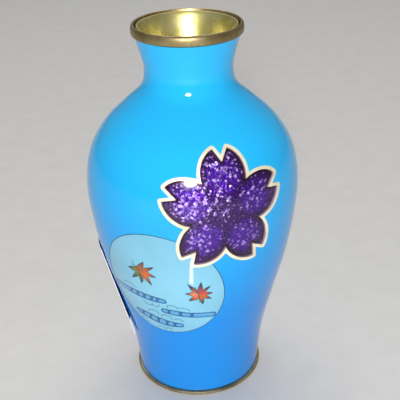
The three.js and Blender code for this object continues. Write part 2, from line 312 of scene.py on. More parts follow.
def bend(piece, place, smoothing=35):
    """Lays a flat piece on the wall. Its drawing is kept as its UV map, 100 mm to one."""
    smooth(piece, smoothing)
    mesh = piece.data
    flat, corner, normal = corners_of(mesh)
    for layer in list(mesh.uv_layers):
        mesh.uv_layers.remove(layer)
    drawing = mesh.uv_layers.new(name="drawing")
    drawing.data.foreach_set("uv", (flat[corner, :2] * 10 + 0.5).ravel())
    spots, right, up, out = lay(flat, place)
    mesh.vertices.foreach_set("co", spots.ravel())
    turned = sum(normal[:, i:i + 1] * way[corner] for i, way in enumerate((right, up, out)))
    turned /= np.linalg.norm(turned, axis=1)[:, None]
    mesh.normals_split_custom_set(turned.tolist())
    mesh.update()
    return piece


def face_the_wall(piece):
    """Gives the faces of a spun and cut piece that look outwards the wall's smooth normals."""
    mesh = piece.data
    spots, corner, normal = corners_of(mesh)
    round_axis = np.arctan2(spots[:, 0], -spots[:, 1])
    rise = np.interp(spots[:, 2] / MM, WALL[:, 1], RISE)
    _, _, out_r, out_z = wall_at(rise)
    out = np.stack([out_r * np.sin(round_axis), -out_r * np.cos(round_axis), out_z], axis=1)[corner]
    facing = (normal * out).sum(axis=1) > 0.95
    normal[facing] = out[facing]
    mesh.normals_split_custom_set(normal.tolist())
    mesh.update()


def wires(name, lines, width):
    """Fine round wire along flat lines, each (points, closed), half sunk in the enamel."""
    deselect()
    curve = bpy.data.curves.new(name, "CURVE")
    curve.dimensions = "3D"
    curve.bevel_depth = width / 2 * MM
    curve.bevel_resolution = 2
    curve.use_fill_caps = True
    for points, closed in lines:
        run = curve.splines.new("POLY")
        run.points.add(len(points) - 1)
        run.use_cyclic_u = closed
        for stop, (u, v) in zip(run.points, points):
            stop.co = (u * MM, v * MM, 0, 1)
    piece = bpy.data.objects.new(name, curve)
    bpy.context.scene.collection.objects.link(piece)
    pick(piece)
    bpy.ops.object.convert(target="MESH")
    piece = bpy.context.object
    piece.name = piece.data.name = name
    for vertex in piece.data.vertices:
        vertex.co.z = vertex.co.z * WIRE_FLATNESS + (WIRE_PROUD - width / 2 * WIRE_FLATNESS) * MM
    edit(piece)
    bpy.ops.mesh.normals_make_consistent(inside=False)
    leave_edit()
    return piece


# ---------------------------------------------------------------- flat outlines

def turned_point(point, angle):
    x, y = point
    return (x * math.cos(angle) - y * math.sin(angle), x * math.sin(angle) + y * math.cos(angle))


def margin_from(outline, spots):
    """How far each of the flat spots lies from the outline."""
    starts = np.array(outline)
    ends = np.roll(starts, -1, axis=0)
    nearest = np.full(len(spots), np.inf)
    for start, end in zip(starts, ends):
        way = end - start
        share = np.clip(((spots - start) @ way) / max(way @ way, 1e-12), 0, 1)
        nearest = np.minimum(nearest, np.linalg.norm(spots - start - share[:, None] * way, axis=1))
    return nearest


def grow(outline, distance, stops=5):
    """An outline moved out (or in, if negative), with its opening corners rounded.

    Sharp closing corners are held back, and points that come too near the outline left out.
    """
    grown = []
    for i, (x, y) in enumerate(outline):
        back, ahead = outline[i - 1], outline[(i + 1) % len(outline)]
        first = math.atan2(back[0] - x, y - back[1])
        second = math.atan2(x - ahead[0], ahead[1] - y)
        turn = math.atan2(math.sin(second - first), math.cos(second - first))
        opens = turn * distance > 0 and abs(turn) > 0.35
        reach = distance if opens else distance / max(0.3, math.cos(turn / 2))
        for stop in range(stops if opens else 1):
            angle = first + turn * (stop / (stops - 1) if opens else 0.5)
            grown.append((x + reach * math.cos(angle), y + reach * math.sin(angle)))
    clear = margin_from(outline, np.array(grown)) > 0.96 * abs(distance)
    return [point for point, kept in zip(grown, clear) if kept]


def circle(radius, count):
    return [turned_point((radius, 0), TURN * i / count) for i in range(count)]


PETALS = 5
PETAL_TURN = math.radians(-1.5)
PETAL_VALLEY = (10.1, 13.9)
PETAL_SIDE = [(11.2, 19.5), (8.8, 26.0)]
PETAL_TIP = (3.3, 28.9)
PETAL_NOTCH = (0, 22.9)


def blossom_outline(steps=14):
    """Five petals with bulging sides and notched tips."""
    side = []
    for step in range(steps + 1):
        t = step / steps
        weights = ((1 - t) ** 3, 3 * t * (1 - t) ** 2, 3 * t * t * (1 - t), t ** 3)
        corners = (PETAL_VALLEY, *PETAL_SIDE, PETAL_TIP)
        side.append(tuple(sum(w * c[i] for w, c in zip(weights, corners)) for i in (0, 1)))
    petal = side + [PETAL_NOTCH] + [(-x, y) for x, y in reversed(side)][:-1]
    return [turned_point(p, PETAL_TURN + TURN * i / PETALS) for i in range(PETALS) for p in petal]


def leaf_outline(leaf, steps=5):
    """A maple leaf through its tips and notches, the sides of the lobes gently swelling."""
    outline = []
    points = list(leaf.edge)
    for i in range(1, len(points), 2):
        points[i] = tuple(heart + 0.8 * (at - heart) for at, heart in zip(points[i], leaf.heart))
    for (x, y), (ahead_x, ahead_y) in zip(points, points[1:] + points[:1]):
        for step in range(steps):
            t = step / steps
            swell = 0.03 * math.sin(math.pi * t)
            outline.append((x + (ahead_x - x) * t + (ahead_y - y) * swell,
                            y + (ahead_y - y) * t - (ahead_x - x) * swell))
    return outline


def rounded(outline, reach, steps=6):
    """An outline with each of its corners rounded off over a reach of its two sides."""
    line = []
    for i, corner in enumerate(outline):
        here = Vector(corner)
        sides = [Vector(outline[i - 1]) - here, Vector(outline[(i + 1) % len(outline)]) - here]
        start, end = (here + side.normalized() * min(reach, side.length * 0.48) for side in sides)
        for step in range(steps + 1):
            t = step / steps
            line.append(tuple(start * (1 - t) ** 2 + here * 2 * t * (1 - t) + end * t * t))
    return line


# Maple leaves, tips and notches in turn, with the stalk and the middle vein.
LEAVES = {
    "upper_leaf": SimpleNamespace(
        edge=[(-15.4, 8.8), (-11.8, 7.0), (-14.0, 2.5), (-9.9, 4.6), (-8.8, 0.6), (-6.9, 4.4),
              (-3.2, 1.0), (-3.9, 6.2), (-0.3, 6.8), (-3.9, 9.6), (-0.8, 12.8), (-6.0, 11.4),
              (-5.8, 14.8), (-10.9, 11.2)],
        stalk=[(-9.0, 9.2), (-10.8, 11.2), (-12.4, 14.0)],
        vein=[(-13.0, 11.6), (-9.4, 8.4), (-7.2, 2.2)], heart=(-8.0, 7.8)),
    "lower_leaf": SimpleNamespace(
        edge=[(12.4, -1.8), (15.4, -3.6), (13.5, -6.6), (18.4, -6.2), (19.8, -9.2), (21.2, -5.8),
              (24.2, -5.6), (22.6, -3.2), (25.2, -1.8), (22.2, -0.4), (24.6, 2.8), (21.2, 1.4),
              (20.5, 5.6), (18.2, 1.2), (14.3, 4.4), (15.4, -0.2)],
        stalk=[(18.0, -1.4), (16.4, 1.0), (14.0, 4.8)],
        vein=[(17.4, 2.8), (18.6, -2.6), (18.5, -7.9)], heart=(18.9, -2.2)),
}

LINK_INSET = 0.42
LINK_ROUNDING = 1.7

# The stream: each band's upper and lower line and where its links are divided, as (u at
# the foot, u at the top).
BANDS = {
    "upper_stream": SimpleNamespace(
        top=[(-29, -6.4), (-21, -5.5), (-10, -5.8), (-2, -6.6), (3.0, -7.2)],
        foot=[(-29, -9.6), (-21, -9.4), (-12, -10.0), (-4, -10.5), (3.0, -10.2)],
        cuts=[(-29.5, -29.5), (-17.6, -16.4), (-13.6, -12.4), (-9.6, -8.4), (-5.6, -4.4),
              (-2.4, -1.6), (2.6, 2.6)]),
    "right_stream": SimpleNamespace(
        top=[(-2, -13.7), (7, -14.2), (13, -15.2), (29, -15.4)],
        foot=[(-2, -16.2), (0.4, -17.2), (7, -18.2), (14, -18.8), (29, -19.0)],
        cuts=[(-1.2, -1.0), (2.6, 3.0), (8.2, 8.4), (13.4, 13.8), (24.6, 25.4)]),
    "lower_stream": SimpleNamespace(
        top=[(-18, -20.2), (-15, -19.6), (-9, -20.0), (-2, -21.8), (3, -22.9), (9.5, -23.6)],
        foot=[(-18, -22.2), (-13.4, -23.8), (-6, -25.6), (1, -26.9), (9.5, -26.2)],
        cuts=[(-17.2, -17.0), (-13.2, -11.8), (-8.8, -7.6), (-4.4, -3.4), (0.2, 0.8), (4.2, 4.6),
              (8.8, 8.8)]),
}

# The loose ripples beside the bands, in five groups.
RIPPLES = [
    [[(-21.5, -3.6), (-19.5, -2.5), (-17, -2.4), (-14.5, -3.2), (-12.5, -4.2)]],
    [[(-9.8, -11.3), (-9.4, -12.8), (-7.5, -13.6), (-5.6, -12.9), (-5.2, -11.4)],
     [(-5.2, -12.4), (-4.2, -13.6), (-2.4, -13.2), (-1.5, -11.7)]],
    [[(2.2, -13.2), (2.5, -11.5), (4.2, -10.8), (6.6, -11.3), (7.4, -12.9)],
     [(7.4, -12.4), (9.2, -11.9), (12, -12.6), (13.0, -13.9)]],
    [[(-8.8, -18.9), (-7.6, -17.3), (-5.2, -16.9), (-3.4, -17.6), (-3.1, -19.2)],
     [(-14.8, -25.4), (-12.6, -26.6), (-10.2, -27.8)]],
    [[(-1.8, -20.4), (-1.2, -18.9), (1.2, -18.5), (3.2, -19.6), (3.2, -21.3)],
     [(4.4, -21.2), (6.0, -20.2), (8.4, -21.2), (8.8, -22.2)],
     [(-5.4, -29.2), (-3.4, -28.0), (-1.2, -28.4), (-0.9, -29.8)],
     [(-0.9, -29.0), (0.6, -28.2), (2.0, -28.6), (2.2, -29.8)]],
]


def band_line(line, u):
    return float(np.interp(u, [p[0] for p in line], [p[1] for p in line]))


def links_of(band):
    """The rounded outline of each link in a band of the stream, counterclockwise."""
    links = []
    for (foot_a, top_a), (foot_b, top_b) in zip(band.cuts, band.cuts[1:]):
        corners = [(foot_a, band_line(band.foot, foot_a)), (foot_b, band_line(band.foot, foot_b)),
                   (top_b, band_line(band.top, top_b)), (top_a, band_line(band.top, top_a))]
        links.append(rounded(grow(corners, -LINK_INSET), LINK_ROUNDING))
    return links


def band_outline(band):
    """The outline of the whole band, round all its links."""
    first, last = band.cuts[0], band.cuts[-1]
    foot = [p for p in band.foot if first[0] < p[0] < last[0]]
    top = [p for p in band.top if first[1] < p[0] < last[1]]
    corners = [(first[0], band_line(band.foot, first[0])), *foot,
               (last[0], band_line(band.foot, last[0])), (last[1], band_line(band.top, last[1])),
               *top[::-1], (first[1], band_line(band.top, first[1]))]
    return rounded(corners, LINK_ROUNDING)


# ---------------------------------------------------------------- finishes

class Link:
    """An output of a material's node, on which plain arithmetic adds the Math nodes."""

    def __init__(self, finish, socket):
        self.finish, self.socket = finish, socket

    def maths(self, operation, other):
        return self.finish.node("ShaderNodeMath", {"operation": operation}, {0: self, 1: other})

    def __add__(self, other):
        return self.maths("ADD", other)

    def __sub__(self, other):
        return self.maths("SUBTRACT", other)

    def __mul__(self, other):
        return self.maths("MULTIPLY", other)

    def __truediv__(self, other):
        return self.maths("DIVIDE", other)

    def __pow__(self, power):
        return self.maths("POWER", power)


class Finish:
    """A material and the nodes that make it."""

    def __init__(self, name):
        self.material = bpy.data.materials.new(name)
        self.material.use_nodes = True
        self.nodes = self.material.node_tree.nodes
        self.links = self.material.node_tree.links
        self.nodes.clear()

    def node(self, kind, settings=None, values=None, output=0):
        node = self.nodes.new(kind)
        for key, value in (settings or {}).items():
            if key == "stops":
                self.set_stops(node.color_ramp, value)
            else:
                setattr(node, key, value)
        for key, value in (values or {}).items():
            if isinstance(value, Link):
                self.links.new(value.socket, node.inputs[key])
            else:
                node.inputs[key].default_value = value
        return Link(self, node.outputs[output]) if node.outputs else None

    @staticmethod
    def set_stops(ramp, stops):
        while len(ramp.elements) > 1:
            ramp.elements.remove(ramp.elements[-1])
        ramp.elements[0].position, ramp.elements[0].color = stops[0][0], shade(stops[0][1])
        for place, colour in stops[1:]:
            ramp.elements.new(place).color = shade(colour)

    def place(self, uv=False):
        return self.node("ShaderNodeTexCoord", output="UV" if uv else "Object")

    def field(self, name):
        """A value kept on the piece's own points."""
        return self.node("ShaderNodeAttribute", {"attribute_name": name}, output="Fac")

    def grain(self, scale, detail=2.0, roughness=0.5, where=None):
        values = {"Vector": where or self.place(), "Scale": scale, "Detail": detail,
                  "Roughness": roughness}
        return self.node("ShaderNodeTexNoise", values=values, output="Fac")

    def ramp(self, value, stops):
        return self.node("ShaderNodeValToRGB", {"stops": stops}, {"Fac": value}, output="Color")

    def range(self, value, low, high, to_low=0.0, to_high=1.0):
        values = {"Value": value, "From Min": low, "From Max": high,
                  "To Min": to_low, "To Max": to_high}
        return self.node("ShaderNodeMapRange", {"clamp": True}, values)

    def mix(self, share, first, second):
        """One colour turning into another. The node's colour sockets are 6, 7 and, out, 2."""
        values = {0: share, 6: first, 7: second}
        return self.node("ShaderNodeMix", {"data_type": "RGBA"}, values, output=2)

    def bump(self, height, distance):
        values = {"Height": height, "Distance": distance * MM, "Strength": 1.0}
        return self.node("ShaderNodeBump", values=values, output="Normal")

    def surface(self, **values):
        return self.node("ShaderNodeBsdfPrincipled", values={
            key.replace("_", " "): value for key, value in values.items()})

    def show(self, surface):
        self.node("ShaderNodeOutputMaterial", values={"Surface": surface})
        return self.material


def shade(hexcode):
    """A colour written as six hexadecimal digits, turned to the light it stands for."""
    def light(value):
        return value / 12.92 if value <= 0.04045 else ((value + 0.055) / 1.055) ** 2.4
    return tuple(light(int(hexcode[i:i + 2], 16) / 255) for i in (0, 2, 4)) + (1.0,)


def moon_blue():
    """Opaque pale enamel, ground flat and polished: faint clouding, pits and a slight wave."""
    f = Finish("pale_moon_enamel")
    colour = f.mix(f.range(f.grain(28, 3), 0.35, 0.65), shade("75b3ce"), shade("82c1dc"))
    pits = f.range(f.grain(1400, 1), 0.74, 0.80)
    colour = f.mix(pits * 0.35, colour, shade("0a2c50"))
    gloss = f.range(f.grain(420, 4, 0.65), 0.3, 0.8, 0.056, 0.105)
    wave = f.grain(45, 1) * 0.7 + pits * -0.04
    return f.show(f.surface(Base_Color=colour, Roughness=gloss, IOR=1.42, Coat_Weight=0.1,
                            Coat_Roughness=0.04, Normal=f.bump(wave, 0.25)))


def ground_blue():
    """The sky blue ground, polished like the moon, with painted light and shade: lighter towards the
    shoulder and darker towards the foot.
    """
    f = Finish("sky_blue_enamel")
    height = f.node("ShaderNodeSeparateXYZ", values={"Vector": f.place()}, output="Z")
    # Painted light and shade: the blue is lighter towards the shoulder and darker towards the foot, as
    # the light falls.
    colour = f.mix(f.range(height, 0.05, 0.135), shade("0f84dc"), shade("21b4f0"))
    colour = f.mix(f.range(f.grain(26, 3), 0.3, 0.7) * 0.2, colour, shade("1a94e4"))
    pits = f.range(f.grain(1500, 1), 0.75, 0.80)
    colour = f.mix(pits * 0.3, colour, shade("0c4478"))
    gloss = f.range(f.grain(420, 4, 0.65), 0.3, 0.8, 0.06, 0.12)
    wave = f.grain(40, 1) * 0.8 - pits * 0.04
    return f.show(f.surface(Base_Color=colour, Roughness=gloss, IOR=1.42, Coat_Weight=0.1,
                            Coat_Roughness=0.04, Normal=f.bump(wave, 0.2)))


def leaf_colours(name, heart, lobes, tips):
    """Leaf enamel: a colour to each lobe round the heart of the leaf, darkening to the tips."""
    f = Finish(name)
    centre = (heart[0] / 100 + 0.5, heart[1] / 100 + 0.5, 0)
    drawing = f.node("ShaderNodeVectorMath", {"operation": "SUBTRACT"},
                     {0: f.place(uv=True), 1: centre}, output="Vector")
    across = f.node("ShaderNodeSeparateXYZ", values={"Vector": drawing}, output="X")
    up = f.node("ShaderNodeSeparateXYZ", values={"Vector": drawing}, output="Y")
    wobble = (f.grain(700, 2) - 0.5) * 0.25
    colour = f.ramp(up.maths("ARCTAN2", across) / TURN + 0.5 + wobble * 0.12, lobes)
    apart = f.node("ShaderNodeVectorMath", {"operation": "LENGTH"}, {0: drawing}, output="Value")
    colour = f.mix(f.range(apart * (wobble + 1), tips[0], tips[1]), colour, shade("263a40"))
    gloss = f.range(f.grain(500, 3), 0.3, 0.7, 0.08, 0.18)
    return f.show(f.surface(Base_Color=colour, Roughness=gloss, Coat_Weight=0.4, Coat_Roughness=0.05,
                            Normal=f.bump(f.grain(900, 2), 0.02)))


def water_blue(name, deep, middle, pale):
    """Enamel of the stream, streaked along its bands."""
    f = Finish(name)
    flow = f.node("ShaderNodeMapping", values={"Vector": f.place(uv=True), "Scale": (60, 260, 1)})
    streak = f.grain(1.0, 2, where=flow)
    colour = f.ramp(streak, [(0.3, deep), (0.55, middle), (0.75, pale)])
    return f.show(f.surface(Base_Color=colour, Roughness=0.1, Coat_Weight=0.4, Coat_Roughness=0.05,
                            Normal=f.bump(f.grain(700, 2), 0.015)))


def silver(name, bright, dull, metal, roughness):
    """Silver wire: finely scratched, dulled in patches."""
    f = Finish(name)
    tarnish = f.range(f.grain(160, 3), 0.42, 0.68)
    colour = f.mix(tarnish, shade(bright), shade(dull))
    scratches = f.grain(2200, 3, 0.7)
    gloss = f.range(scratches, 0.2, 0.8, roughness * 0.75, roughness * 1.3)
    return f.show(f.surface(Base_Color=colour, Metallic=metal, Roughness=gloss,
                            Normal=f.bump(scratches, 0.02)))


def brass(name, bright, dull, stain, roughness, patch=90.0):
    """Handled brass: dulled in patches and stained in specks."""
    f = Finish(name)
    cloud = f.range(f.grain(patch, 4, 0.6), 0.36, 0.66)
    fine = f.grain(patch * 9, 3, 0.7)
    colour = f.mix(cloud, shade(bright), shade(dull))
    colour = f.mix(f.range(fine, 0.50, 0.72) * 0.6, colour, shade(stain))
    gloss = f.range(fine, 0.25, 0.75, roughness * 0.8, roughness * 1.35)
    return f.show(f.surface(Base_Color=colour, Metallic=0.9, Roughness=gloss,
                            Normal=f.bump(fine, 0.03)))


def copper():
    """Bare sheet copper, hidden under the enamel."""
    f = Finish("spun_copper")
    bands = f.grain(300, 2)
    colour = f.mix(f.range(bands, 0.3, 0.7), shade("a8623c"), shade("7c4024"))
    return f.show(f.surface(Base_Color=colour, Metallic=1.0, Roughness=0.4,
                            Normal=f.bump(bands, 0.03)))


def counter():
    """Plain mottled enamel inside the vessel, which keeps the outer enamel from cracking."""
    f = Finish("counter_enamel")
    mottle = f.grain(380, 4, 0.6)
    colour = f.ramp(mottle, [(0.3, "2c332f"), (0.5, "4b5240"), (0.7, "6c6a48")])
    return f.show(f.surface(Base_Color=colour, Roughness=0.25, Coat_Weight=0.3, Coat_Roughness=0.1,
                            Normal=f.bump(mottle, 0.06)))


def foil():
    """Crumpled foil: violet on the domes, dark plum along the margin, with pale flecks that are painted
    highlights.
    """
    f = Finish("purple_foil")
    edge = f.field("margin")
    mottle = f.grain(260, 3)
    colour = f.mix(f.range(f.field("swell"), 0.0, 0.8), shade("440e68"), shade("6420a8"))
    colour = f.mix(f.range(mottle, 0.45, 0.7) * 0.6, colour, shade("360a50"))
    colour = f.mix(f.range(edge, 0.15, 0.7), shade("3a0830"), colour)
    # Painted highlights: the pale flecks stand for glints of the lights on the bubble crests and are
    # put into the colour.
    painted_glints = f.range(f.field("crest"), 0.34, 0.56) * f.range(f.grain(700, 1), 0.44, 0.54)
    colour = f.mix(painted_glints * f.range(edge, 0.2, 0.6), colour, shade("f6ecff"))
    gloss = f.range(mottle, 0.3, 0.7, 0.2, 0.32)
    cells = f.node("ShaderNodeTexVoronoi", {"feature": "SMOOTH_F1"},
                   {"Vector": f.place(), "Scale": 820.0, "Smoothness": 0.4}, output="Distance")
    creases = cells * -1.0 + f.grain(1500, 2) * 0.5
    return f.show(f.surface(Base_Color=colour, Metallic=0.6, Roughness=gloss,
                            Normal=f.bump(creases, 0.45)))


def clear_purple():
    """The clear enamel over the foil: it tints what lies under it and mirrors at its face."""
    f = Finish("clear_purple_enamel")
    clear = f.node("ShaderNodeBsdfTransparent", values={"Color": shade("f0e8fc")})
    wave = f.bump(f.grain(60, 1), 0.15)
    gloss = f.node("ShaderNodeBsdfGlossy",
                   values={"Color": (1, 1, 1, 1), "Roughness": 0.13, "Normal": wave})
    facing = f.node("ShaderNodeLayerWeight", values={"Blend": 0.5}, output="Facing")
    mirror = facing ** 5 * 0.7 + 0.025
    return f.show(f.node("ShaderNodeMixShader", values={0: mirror, 1: clear, 2: gloss}))


def paper():
    """Plain white paper with a fine fibre."""
    f = Finish("blank_paper")
    fibre = f.grain(900, 4, 0.7)
    colour = f.mix(f.range(fibre, 0.35, 0.7), shade("f6f4f4"), shade("e6e2ea"))
    return f.show(f.surface(Base_Color=colour, Roughness=0.85, Normal=f.bump(fibre, 0.05)))


def plain_floor():
    f = Finish("pale_floor")
    colour = f.mix(f.range(f.grain(60, 3), 0.3, 0.7), shade("cfcdca"), shade("d4d2cf"))
    return f.show(f.surface(Base_Color=colour, Roughness=0.6))


GROUND = ground_blue()
PALE_MOON = moon_blue()
WATER = water_blue("water_blue_enamel", "3f8cc8", "559fd2", "6fb2de")
DEEP_WATER = water_blue("deep_water_enamel", "20598c", "296aa2", "347bb4")
LEAF_GREEN = leaf_colours(
    "leaf_green_enamel", LEAVES["upper_leaf"].heart,
    [(0.0, "6d7a14"), (0.15, "4f5f1c"), (0.3, "6c6c12"), (0.85, "8a6a1a"), (1.0, "6d7a14")],
    (0.032, 0.068))
LEAF_ORANGE = leaf_colours(
    "leaf_orange_enamel", LEAVES["upper_leaf"].heart,
    [(0.0, "8a6a1a"), (0.3, "a35a1e"), (0.45, "d0651c"), (0.55, "c8540c"), (0.66, "a8501c"),
     (0.78, "8f5428"), (0.92, "9a6420")],
    (0.036, 0.074))
LEAF_RED = leaf_colours(
    "leaf_red_enamel", LEAVES["lower_leaf"].heart,
    [(0.0, "e08058"), (0.12, "d4603a"), (0.25, "a8602c"), (0.75, "9c4a4e"), (0.87, "a8684a"),
     (1.0, "e08058")],
    (0.03, 0.058))
LEAF_RUST = leaf_colours(
    "leaf_rust_enamel", LEAVES["lower_leaf"].heart,
    [(0.2, "9c6030"), (0.38, "b8642c"), (0.5, "cc4c20"), (0.62, "a8482c"), (0.75, "98405a"),
     (0.85, "a8684a")],
    (0.03, 0.058))
BRIGHT_SILVER = silver("bold_silver", "f6f0d4", "e8dfb8", 0.3, 0.35)
DARK_SILVER = silver("fine_silver", "2b4f72", "1c3854", 0.45, 0.4)
RIM_BRASS = brass("rim_brass", "a89870", "8f7c50", "74603a", 0.38)
LINER_BRASS = brass("liner_brass", "e0d69c", "c4b86e", "8c9654", 0.36, patch=120.0)
FOOT_BRASS = brass("foot_brass", "b4a886", "8c7c5a", "5c5038", 0.35)
COPPER_SHEET = copper()
COUNTER = counter()
FOIL = foil()
CLEAR_PURPLE = clear_purple()
PAPER = paper()
FLOOR = plain_floor()


def finish_piece(piece, material, node):
    """Paints a piece, lets it stand for its CAD node and fixes it to the vase."""
    piece.data.materials.clear()
    piece.data.materials.append(material)
    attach(piece, "root")
    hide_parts(node)
    return piece


# ---------------------------------------------------------------- the vessel

def wall_outline(depth, thickness, low, high, pitch=WALL_PITCH):
    """The section of a layer of the wall, at a depth behind its face, between two heights."""
    face = set_back(depth, low, high, pitch)
    return face + set_back(depth + thickness, low, high, pitch)[::-1]


def add_disc(name, box, material, node):
    radius, low, high = box[1].x / MM, box[0].z / MM, box[1].z / MM
    disc = spun(name, [(0, low), (radius, low), (radius, high), (0, high)], HIDDEN_SPIN_STEPS)
    finish_piece(disc, material, node)


def add_copper():
    low, top = FOOT_HEIGHT + GAP, NECK_TOP - GAP
    body = spun("copper_body_sheet", wall_outline(CORE_DEPTH, COPPER, low, NECK_ROOT, 4),
                HIDDEN_SPIN_STEPS)
    finish_piece(body, COPPER_SHEET, "copper_body")
    neck = spun("copper_neck_sheet", wall_outline(CORE_DEPTH, COPPER, NECK_ROOT + GAP, top, 3),
                HIDDEN_SPIN_STEPS)
    finish_piece(neck, COPPER_SHEET, "copper_neck")
    add_disc("copper_base_disc", BASE, COPPER_SHEET, "copper_base")
    add_disc("underside_enamel", UNDERSIDE, GROUND, "base_enamel")


def add_lining():
    """The enamelled cup inside the body and the bare brass sleeve above it."""
    floor = BASE[1].z / MM + GAP
    top = NECK_ROOT - LINER_OVERLAP
    outside = [(0, floor)] + set_back(LINING_DEPTH, floor, top, 3)
    inside = set_back(LINING_DEPTH + LINING, floor + LINING, top, 3)[::-1] + [(0, floor + LINING)]
    cup = spun("counter_enamel_cup", outside + inside, HIDDEN_SPIN_STEPS)
    finish_piece(cup, COUNTER, "counter_enamel")
    sleeve = wall_outline(LINING_DEPTH, LINING, top + GAP, HEIGHT - LINER_SINK, 1.5)
    liner = spun("mouth_liner_sleeve", sleeve)
    finish_piece(liner, LINER_BRASS, "mouth_liner")


def add_mouth_and_foot():
    """The rolled brass rim and the foot ring, each from its own section."""
    rolled = [(LIP_RADIUS - inward, height) for inward, height in (
        (0.6, NECK_TOP), (0.15, NECK_TOP + 0.5), (0, NECK_TOP + 1.6), (0.05, NECK_TOP + 2.8),
        (0.35, NECK_TOP + 3.9), (0.9, HEIGHT - 0.1), (1.25, HEIGHT), (1.55, HEIGHT - 0.2))]
    band = [tuple(point) for point in smooth_line(rolled, 4)]
    rim = spun("mouth_rim_band", [(LIP_SEAT, NECK_TOP), *band, (LIP_INSIDE, HEIGHT - 1.6)])
    finish_piece(rim, RIM_BRASS, "mouth_rim")
    ring = [(FOOT_INSIDE, 0), (FOOT_RADIUS - 0.25, 0), (FOOT_RADIUS, 0.25), (FOOT_RADIUS, 1.1),
            (FOOT_RADIUS - 0.2, 1.55), (FOOT_RADIUS - 0.7, FOOT_HEIGHT), (FOOT_INSIDE, FOOT_HEIGHT)]
    foot = spun("foot_ring_band", ring)
    finish_piece(foot, FOOT_BRASS, "foot_ring")


# ---------------------------------------------------------------- the picture

BLOSSOM_EDGE = blossom_outline()
BLOSSOM_WIRE_EDGE = grow(BLOSSOM_EDGE, BOLD_WIRE)
MOON_EDGE = circle(MOON_RADIUS, 160)


def moved(outline, place, to):
    """An outline drawn at one place, redrawn flat at another."""
    line = []
    for u, v in outline:
        radius = float(wall_at(place.rise + v)[0])
        angle = place.angle + u / radius
        line.append(((angle - to.angle) * radius, v + place.rise - to.rise))
    return line


def cutter(outline, place):
    """A block that cuts an inlaid motif out of the ground, bent like the wall."""
    return bend(slab("cutter", outline, -CUT_BEHIND, CUT_PROUD, 2.5), place)


def add_ground():
    """The ground enamel, cut away where the moon and the blossom are inlaid."""
    outline = wall_outline(0, ENAMEL, FOOT_HEIGHT + GAP, NECK_TOP - GAP)
    shell = spun("sky_blue_ground", outline)
    boolean(shell, cutter(grow(MOON_EDGE, SEAM), MOON), "DIFFERENCE")
    boolean(shell, cutter(grow(BLOSSOM_WIRE_EDGE, SNUG), BLOSSOM), "DIFFERENCE")
    smooth(shell)
    face_the_wall(shell)
    finish_piece(shell, GROUND, "ground_enamel")


# The embossing: a dome in each petal, bubbles of one spacing all over, ridges round the heart.
DOME_FROM_HEART = 16.0
DOME_TALL, DOME_WIDE = 8.6, 8.2
BUBBLE_SPACING = 1.75
BUBBLE_REACH = 0.72
RIDGES = 15
RIDGE_FROM_HEART = 5.5


def relief(u, v):
    """Lift, swell and glint mask of the embossed foil at a flat spot of the blossom.

    The glint mask follows the bubble crests and carries the pale flecks of painted highlight; it is
    made stronger towards the upper left petals, where the light falls.
    """
    swell = 0.0
    for petal in range(PETALS):
        x, y = turned_point((u, v), -(PETAL_TURN + TURN * petal / PETALS))
        swell = max(swell, 1 - ((y - DOME_FROM_HEART) / DOME_TALL) ** 2 - (x / DOME_WIDE) ** 2)
    dome = math.sqrt(swell)
    spot = Vector((u, v, 0))
    nearest = noise.voronoi(spot / BUBBLE_SPACING)[0][0]
    bubble = max(0.0, 1 - (nearest / BUBBLE_REACH) ** 2)
    crumple = noise.noise(spot / 2.4) + 0.5 * noise.noise(spot / 1.1 + Vector((7, 3, 1)))
    off_ridge = abs(math.hypot(u, v) - RIDGE_FROM_HEART) / RIDGE_FROM_HEART
    ridge = math.cos(RIDGES * math.atan2(v, u)) * max(0.0, 1 - off_ridge)
    bubble_height = 0.2 + 0.12 * min(1.0, dome * 1.6)
    lift = 0.08 * dome + bubble_height * bubble + 0.1 * crumple + 0.08 * ridge
    # Painted highlight: the flecks are made denser towards the upper left petals, where the light
    # falls.
    to_upper_left = min(1.0, max(0.0, 0.45 + (v - 0.7 * u) / 22))
    light_bias = 0.63 + 0.37 * to_upper_left
    return lift, dome, bubble * light_bias * (0.7 + 0.3 * dome)


def add_foil():
    """The embossed sheet, flat along its margin, with the fields that its finish reads."""
    edge = grow(BLOSSOM_EDGE, -SEAM)
    sheet = slab("embossed_foil_sheet", edge, FOIL_BACK, FOIL_FACE, FOIL_PITCH)
    mesh = sheet.data
    spots = np.array([(v.co.x / MM, v.co.y / MM) for v in mesh.vertices])
    margin = margin_from(edge, spots)
    lifts, swell, crest = zip(*(relief(*spot) for spot in spots))
    settle = np.clip(margin / 1.2, 0, 1)
    for vertex, lift, ease in zip(mesh.vertices, lifts, settle):
        vertex.co.z += lift * ease * MM
    fields = {"margin": np.clip(margin / 3.2, 0, 1), "swell": np.array(swell) * settle,
              "crest": np.array(crest) * settle}
    for name, field in fields.items():
        mesh.attributes.new(name, "FLOAT", "POINT").data.foreach_set("value", field)
    bend(sheet, BLOSSOM, smoothing=60)
    finish_piece(sheet, FOIL, "blossom_foil")


def add_blossom():
    """The foil, the clear enamel over it and the bold wire round both."""
    add_foil()
    glaze = slab("clear_purple_glaze", grow(BLOSSOM_EDGE, -SEAM), GLAZE_BACK, 0.0, BLOSSOM_PITCH)
    finish_piece(bend(glaze, BLOSSOM), CLEAR_PURPLE, "blossom_enamel")
    band = slab("bold_silver_outline", BLOSSOM_WIRE_EDGE, -CELL_DEPTH, OUTLINE_PROUD, BLOSSOM_PITCH)
    boolean(band, prism(BLOSSOM_EDGE), "DIFFERENCE")
    apply_modifier(band, "BEVEL", width=OUTLINE_EASE * MM, segments=2, limit_method="ANGLE",
                   angle_limit=math.radians(60))
    finish_piece(bend(band, BLOSSOM), BRIGHT_SILVER, "blossom_wire")


